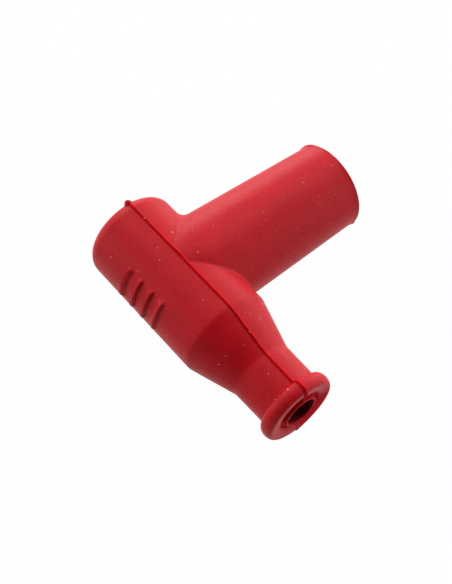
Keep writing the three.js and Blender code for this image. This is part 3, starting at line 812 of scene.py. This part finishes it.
def rubberFinish():
    look = dict(
        # colours as they show on screen, and how much of what is under it each covers
        body=(184, 6, 24), deep=(176, 3, 20), dusty=(190, 40, 48), dustShare=0.14, grain=(212, 92, 94),
        grainShare=0.17, ridge=(206, 1, 12), ridgeHighlightShare=1.1, ridgeHighlightFade=0.85, footShade=(176, 0, 3), footShadeShare=1.1,
        footShadeShareFront=1.0, hole=(74, 1, 3), holeShadeShare=0.95, lint=(240, 226, 220), lintShare=0.8,
        coneShade=0.9, tubeClean=0.6,
        # sizes of the patterns in millimetres; a cell, a radius and the share kept, for specks and fibres
        cloudSize=5.0, dustSize=9.0, mottleSize=0.9, grainSize=0.28, unevenSize=1.2,
        specks=(1.1, 0.12, 0.12), fibres=(1.2, 0.1, 0.35), fibreLight=0.8, fibreStretch=4.5,
        fibreTurns=((1.35, 0.0, 0.5), (0.5, 1.2, 2.1)), fibreWave=1.5, fibreSway=1.0,
        # where marks fade in or out, in millimetres: out from the body's axis, in from the mouth, or across
        ringOut=(4.6, 6.0), ringIn=(1.5, 2.5), holeOut=(3.5, 3.62), holeIn=(0.05, 0.7), holeEnd=(20.0, 22.0),
        seamOut=(4.0, 4.9), seamHigh=(-3.0, -1.0), closedEnd=(4.0, 11.0), tube=(6.0, 14.0),
        coneSide=(-2.0, 1.0), ridgeLeft=(-0.16, -0.04), ridgeRight=(0.14, 0.36),
        footLeft=(-0.6, -0.35), footRight=(-0.2, -0.02),
        lowMouth=(1.5, 4.5), lowMouthRight=(-0.5, 1.5), lowMouthIn=(1.6, 2.6),
        # gloss, and the depth of mottle and grain in millimetres with the strength of each
        roughness=0.46, roughSpread=0.12, lintRough=0.3, dullness=0.5, ridgeDull=0.8, ringDull=0.5,
        specular=0.13, mottleBump=(0.05, 0.6), grainBump=(0.03, 0.9),
    )
    f = Finish("red_rubber")
    place = f.place()
    # millimetres from the crossing of the axes, out from the body's axis, and in from the mouth
    right, along, high = (f.split(place, k) * (1 / mm) - float(crossing[k]) for k in range(3))
    outwards = f.fromAxis(place, (1 / mm, 0.0, 1 / mm))
    inwards = along - mouthHeight
    clouds = f.noise(look["cloudSize"], 4.0, 0.6, place).between(0.35, 0.68)
    mottle = f.noise(look["mottleSize"], 3.0, 0.55, place)
    grain = f.noise(look["grainSize"], 3.0, 0.7, place)
    colour = f.blend(clouds, look["deep"], look["body"])

    # dust and worn grain; less of them round the sunk ring and on the cone's side away from the tube, which
    # leaves the darker bare red there as painted shade
    coneStart = -cover["barrelFront"]
    awayFromRing = 1 - (1 - outwards.between(*look["ringOut"])) * (1 - inwards.between(*look["ringIn"]))
    onCone = along.between(coneEnd - 2.0, coneEnd + 2.0)
    onCone = onCone * (1 - along.between(coneStart - 0.5, coneStart + 0.5))
    dustOutsideShade = awayFromRing * (1 - onCone * (1 - right.between(*look["coneSide"])) * look["coneShade"])
    dust = f.noise(look["dustSize"], 5.0, 0.65, place).between(0.55, 0.8) * look["dustShare"]
    colour = f.blend(dust * dustOutsideShade, colour, look["dusty"])
    colour = f.blend(grain.between(0.42, 0.75) * dustOutsideShade * look["grainShare"], colour, look["grain"])

    # the parting line: a painted highlight along its ridge that fades at the closed end, and painted shade
    # at the foot beside it
    closedEnd = along.between(*look["closedEnd"])
    uneven = 0.75 + f.noise(look["unevenSize"], 2.0, 0.5, place) * 0.5
    shown = outwards.between(*look["seamOut"]) * high.between(*look["seamHigh"])
    ridge = right.between(*look["ridgeLeft"]) * (1 - right.between(*look["ridgeRight"])) * shown
    footShade = right.between(*look["footLeft"]) * (1 - right.between(*look["footRight"])) * shown
    footShadeShare = look["footShadeShareFront"] + closedEnd * (look["footShadeShare"] - look["footShadeShareFront"])
    ridgeHighlightShare = look["ridgeHighlightShare"] * (1 - closedEnd * look["ridgeHighlightFade"])
    # painted shade: the bead's foot is coloured a darker red
    colour = f.blend(footShade * uneven * footShadeShare, colour, look["footShade"])
    # painted highlight: the ridge is coloured a brighter red
    colour = f.blend(ridge * uneven * ridgeHighlightShare, colour, look["ridge"])

    # lint: a few small specks, and short fibres, which are the same pattern bent and stretched two ways
    specks = f.flecks(place, *look["specks"])
    wavy = f.shift(place, look["fibreWave"], look["fibreSway"])
    ways = [f.stretched(wavy, turn, look["fibreStretch"]) for turn in look["fibreTurns"]]
    some, others = (f.flecks(way, *look["fibres"]) for way in ways)
    lint = specks.math("MAXIMUM", (some + others) * look["fibreLight"])
    lint = lint * (1 - right.between(*look["tube"]) * look["tubeClean"])
    colour = f.blend(lint * look["lintShare"], colour, look["lint"])

    # painted shade on the wall inside the cable's hole, from a little way in
    holeShade = (1 - outwards.between(*look["holeOut"])) * inwards.between(*look["holeIn"])
    holeShade = holeShade * (1 - inwards.between(*look["holeEnd"]))
    colour = f.blend(holeShade * look["holeShadeShare"], colour, look["hole"])

    # duller rubber: along the parting line, low on the mouth towards the tube, and a little round the ring
    lowMouth = (right * 0.6 - high * 0.8).between(*look["lowMouth"]) * right.between(*look["lowMouthRight"])
    lowMouth = lowMouth * (1 - inwards.between(*look["lowMouthIn"]))
    dull = footShade.math("MAXIMUM", ridge * look["ridgeDull"]).math("MAXIMUM", lowMouth)
    dull = dull.math("MAXIMUM", (1 - awayFromRing) * look["ringDull"])
    rough = look["roughness"] + (mottle - 0.5) * look["roughSpread"]
    rough = rough + lint * look["lintRough"] + dull * look["dullness"]
    bump = f.bump(grain, *look["grainBump"], f.bump(mottle, *look["mottleBump"]))
    return f.surface(
        Base_Color=colour, Roughness=rough, Normal=bump, IOR=1.5, Specular_IOR_Level=look["specular"])


def plainFinish(name, colour, second, size, roughness, depth):
    # moulded or fired stuff: two close tints in clouds, uneven gloss and a fine grain
    f = Finish(name)
    place = f.place()
    clouds = f.noise(size, 4.0, 0.6, place)
    grain = f.noise(size * 0.12, 3.0, 0.6, place)
    tone = f.blend(clouds.between(0.3, 0.7), colour, second)
    rough = roughness + (grain - 0.5) * 0.2
    return f.surface(Base_Color=tone, Roughness=rough, Normal=f.bump(grain, depth, 0.35))


def turnedFinish(name, colour, second, roughness, pitch=0.22, depth=0.006):
    # metal off a lathe: clouds of tarnish, and fine rings round the plug's axis left by the tool
    f = Finish(name)
    place = f.place()
    clouds = f.noise(2.5, 3.0, 0.5, place).between(0.3, 0.7)
    fromAxis = f.fromAxis(place, (0.0, 1 / mm, 1 / mm))
    rings = (fromAxis * (2 * math.pi / pitch)).math("SINE") * 0.5 + 0.5
    tone = f.blend(clouds, colour, second)
    rough = roughness + clouds * 0.1
    return f.surface(Base_Color=tone, Roughness=rough, Metallic=1.0, Normal=f.bump(rings, depth, 0.4))


rubber = rubberFinish()
phenolic = plainFinish("phenolic", (30, 26, 23), (44, 38, 33), 3.0, 0.42, 0.008)
brass = turnedFinish("brass", (201, 164, 88), (184, 142, 70), 0.26)
steel = turnedFinish("steel", (178, 178, 176), (158, 158, 155), 0.26)
ceramic = plainFinish("ceramic", (222, 214, 198), (208, 200, 184), 2.0, 0.5, 0.008)
print("finishes made")


def dress(piece, finish, node):
    # the finish in the piece's slot, the one body, and the node that the piece stands for
    piece.data.materials.clear()
    piece.data.materials.append(finish)
    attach(piece, "root")
    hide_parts(node)


dress(coverPiece, rubber, "rubber_cover")
dress(insulator, phenolic, "insulator_core")
dress(contact, brass, "corner_contact")
dress(screw, steel, "cable_screw")
dress(resistor, ceramic, "resistor_body")
dress(cupInner, brass, "resistor_cap_inner")
dress(cupOuter, brass, "resistor_cap_outer")
dress(spring, steel, "contact_spring")
dress(terminal, brass, "plug_terminal")
dress(clip, steel, "terminal_clip")
print("pieces dressed")

# Camera, from above the part: where it looks, in millimetres from the crossing, how far off, and how turned
shot = dict(aim=(6.8, -7.9, -0.3), distance=246.0, azimuth=47.1, down=55.7, roll=8.1, lens=72.6)


def standCamera(s):
    # forward from azimuth and tilt, then right and up turned about it by the roll
    a, e, roll = (math.radians(s[key]) for key in ("azimuth", "down", "roll"))
    forward = np.array([math.sin(a) * math.cos(e), math.cos(a) * math.cos(e), -math.sin(e)])
    level = np.array([math.cos(a), -math.sin(a), 0])
    right = math.cos(roll) * level + math.sin(roll) * np.cross(level, forward)
    up = np.cross(right, forward)
    spot = (np.array(s["aim"]) + crossing - s["distance"] * forward) * mm
    camera = bpy.data.cameras.new("camera")
    camera.lens, camera.sensor_width, camera.clip_start = s["lens"], 36, 0.01
    body = addObject("camera", camera)
    matrix = np.eye(4)
    matrix[:3, 0], matrix[:3, 1], matrix[:3, 2], matrix[:3, 3] = right, up, -forward, spot
    body.matrix_world = Matrix(matrix.tolist())
    bpy.context.scene.camera = body


standCamera(shot)


def layFloor():
    # a white floor: white to the camera and in reflections, but lit and shaded by the lamps underneath that
    f = Finish("floor_white")
    lit = f.make("ShaderNodeBsdfDiffuse", {}, {"Color": tint(236, 236, 236)})
    glow = f.make("ShaderNodeEmission", {}, {"Color": (1, 1, 1, 1), "Strength": 1.0})
    mixed = f.make("ShaderNodeMixShader", {}, {0: f.seenDirectly() * 0.98, 1: lit, 2: glow})
    f.make("ShaderNodeOutputMaterial", {}, {"Surface": mixed})
    mesh = bpy.data.meshes.new("floor")
    half = 3.0  # metres
    corners = [(-half, -half, 0), (half, -half, 0), (half, half, 0), (-half, half, 0)]
    mesh.from_pydata(corners, [], [(0, 1, 2, 3)])
    mesh.materials.append(f.material)
    addObject("floor", mesh)


layFloor()

# Soft round lamps: where each stands round the part and how high, in degrees, how wide, and its watts
lamps = dict(
    right=dict(around=15, high=10, size=0.75, watts=5.4),
    rightBack=dict(around=60, high=10, size=0.5, watts=3.0),
    back=dict(around=90, high=30, size=0.5, watts=3.6),
    leftBack=dict(around=135, high=10, size=0.75, watts=4.4),
    front=dict(around=315, high=10, size=0.75, watts=2.8),
    frontHigh=dict(around=330, high=30, size=0.5, watts=2.1),
    rightHigh=dict(around=15, high=55, size=0.75, watts=4.1),
    backHigh=dict(around=105, high=55, size=0.75, watts=2.8),
)


def hangLamps():
    # each lamp a metre from the middle of the part, and facing it
    middle = Vector(np.array(cadBox).mean(0).tolist())
    for name, lamp in lamps.items():
        light = bpy.data.lights.new(name, "AREA")
        light.shape, light.size, light.energy = "DISK", lamp["size"], lamp["watts"]
        around, high = math.radians(lamp["around"]), math.radians(lamp["high"])
        level = math.cos(high)
        towards = Vector((math.cos(around) * level, math.sin(around) * level, math.sin(high)))
        body = addObject(name, light)
        body.location = middle + towards
        body.rotation_mode = "QUATERNION"
        body.rotation_quaternion = towards.to_track_quat("Z", "Y")


hangLamps()


def setWorld():
    # white to the camera and in reflections, a faint even light otherwise
    f = Finish("studio", bpy.data.worlds)
    strength = f.seenDirectly() * 0.95 + 0.05
    background = f.make("ShaderNodeBackground", {}, {"Color": (1, 1, 1, 1), "Strength": strength})
    f.make("ShaderNodeOutputWorld", {}, {"Surface": background})
    bpy.context.scene.world = f.material


setWorld()
bpy.context.scene.view_settings.view_transform = "Standard"

print("scene ready")
